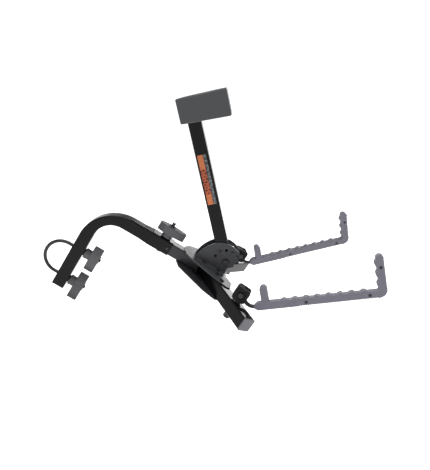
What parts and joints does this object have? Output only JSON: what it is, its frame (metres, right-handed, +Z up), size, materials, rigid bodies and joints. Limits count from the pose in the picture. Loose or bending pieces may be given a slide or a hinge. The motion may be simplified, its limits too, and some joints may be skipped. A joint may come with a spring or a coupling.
{
  "type": "hitch mounted bike rack",
  "caption": "Hitch mounted bicycle rack: clamped J-bar, folding mast with pad, V yoke and swivelling cradle arms.",
  "frame": {"origin": "centre of the U-bolt's bend, in the space of the hitch cross tube it clamps, on the rack's mirror plane", "axes": "+X rearward, away from the vehicle, +Y to the vehicle's right, +Z up"},
  "size_m": [0.8906, 0.42, 0.5781],
  "materials": {
    "black_tube": "gloss powder coat",
    "grey_frame": "satin grey powder coat",
    "zinc_hardware": "zinc plated",
    "black_hardware": "black oxide",
    "brass_insert": "turned",
    "knob_plastic": "moulded",
    "cap_plastic": "moulded",
    "arm_plastic": "moulded",
    "block_plastic": "moulded",
    "pad_rubber": "fine grained"
  },
  "bodies": {
    "rack": {"j_bar": "black_tube", "j_bar_end_plug": "cap_plastic", "u_bolt": "black_hardware", "u_bolt_washers": "black_hardware", "stem_knob_washer": "black_hardware", "stem_knob_bolt": "black_hardware", "stub_tube": "grey_frame", "stub_rivet": "black_hardware", "yoke_tube": "black_tube", "yoke_end_cap_left": "cap_plastic", "yoke_end_cap_right": "cap_plastic", "swivel_sleeve_left": "zinc_hardware", "swivel_sleeve_right": "zinc_hardware", "upper_gusset_plate": "grey_frame", "lower_gusset_plate": "grey_frame", "gusset_bolts": "black_hardware", "gusset_nuts": "black_hardware", "quadrant_plate_left": "grey_frame", "quadrant_plate_right": "grey_frame", "bracket_screws": "black_hardware", "pivot_bolt": "black_hardware", "pivot_washers": "black_hardware", "pivot_nut": "black_hardware", "mast_spacer_washers": "black_hardware"},
    "mast": {"mast_tube": "black_tube", "mast_bush": "zinc_hardware", "pad_core": "cap_plastic", "pad_core_rivet": "black_hardware", "pad": "pad_rubber"},
    "lock_pin": {"lock_pin": "black_hardware", "lock_pin_ring": "zinc_hardware"},
    "knob_upper": {"clamp_knob_upper": "knob_plastic", "clamp_knob_upper_insert": "brass_insert"},
    "knob_lower": {"clamp_knob_lower": "knob_plastic", "clamp_knob_lower_insert": "brass_insert"},
    "knob_stem": {"stem_knob": "knob_plastic", "stem_knob_insert": "brass_insert"},
    "clamp_left": {"clamp_block_left": "block_plastic", "clamp_foot_left": "black_hardware", "swivel_bolt_left": "black_hardware", "swivel_washer_left": "black_hardware", "fold_bolt_left": "black_hardware", "fold_nut_left": "black_hardware"},
    "arm_left": {"arm_rod_left": "black_hardware", "arm_shell_front_left": "arm_plastic", "arm_shell_back_left": "arm_plastic", "arm_screws_left": "black_hardware"},
    "clamp_right": {"clamp_block_right": "block_plastic", "clamp_foot_right": "black_hardware", "swivel_bolt_right": "black_hardware", "swivel_washer_right": "black_hardware", "fold_bolt_right": "black_hardware", "fold_nut_right": "black_hardware"},
    "arm_right": {"arm_rod_right": "black_hardware", "arm_shell_front_right": "arm_plastic", "arm_shell_back_right": "arm_plastic", "arm_screws_right": "black_hardware"}
  },
  "joints": [
    {"name": "mast_fold", "type": "hinge", "parent": "rack", "child": "mast", "pos_m": [0.4576, 0, -0.0015], "axis": [0, 1, 0], "range_deg": [0, 85]},
    {"name": "lock_pin_pull", "type": "slide", "parent": "rack", "child": "lock_pin", "axis": [0, 1, 0], "range_m": [0, 0.05]},
    {"name": "knob_upper_turn", "type": "hinge", "parent": "rack", "child": "knob_upper", "pos_m": [0.07612, 0, 0.00782], "axis": [0.8434, 0, -0.5373], "continuous": true},
    {"name": "knob_lower_turn", "type": "hinge", "parent": "rack", "child": "knob_lower", "pos_m": [0.02508, 0, -0.0723], "axis": [0.8434, 0, -0.5373], "continuous": true},
    {"name": "knob_stem_turn", "type": "hinge", "parent": "rack", "child": "knob_stem", "pos_m": [0.31095, 0, 0.08837], "axis": [0.5225, 0, 0.8526], "continuous": true},
    {"name": "arm_swivel_left", "type": "hinge", "parent": "rack", "child": "clamp_left", "pos_m": [0.5039, -0.142, -0.02987], "axis": [0.5225, 0, 0.8526], "range_deg": [-22, 14]},
    {"name": "arm_fold_left", "type": "hinge", "parent": "clamp_left", "child": "arm_left", "pos_m": [0.49909, -0.142, -0.03772], "axis": [-0.1627, -0.9816, 0.0997], "range_deg": [0, 75]},
    {"name": "arm_swivel_right", "type": "hinge", "parent": "rack", "child": "clamp_right", "pos_m": [0.5039, 0.142, -0.02987], "axis": [0.5225, 0, 0.8526], "range_deg": [-14, 22]},
    {"name": "arm_fold_right", "type": "hinge", "parent": "clamp_right", "child": "arm_right", "pos_m": [0.49909, 0.142, -0.03772], "axis": [0.1627, -0.9816, -0.0997], "range_deg": [0, 75]}
  ]
}
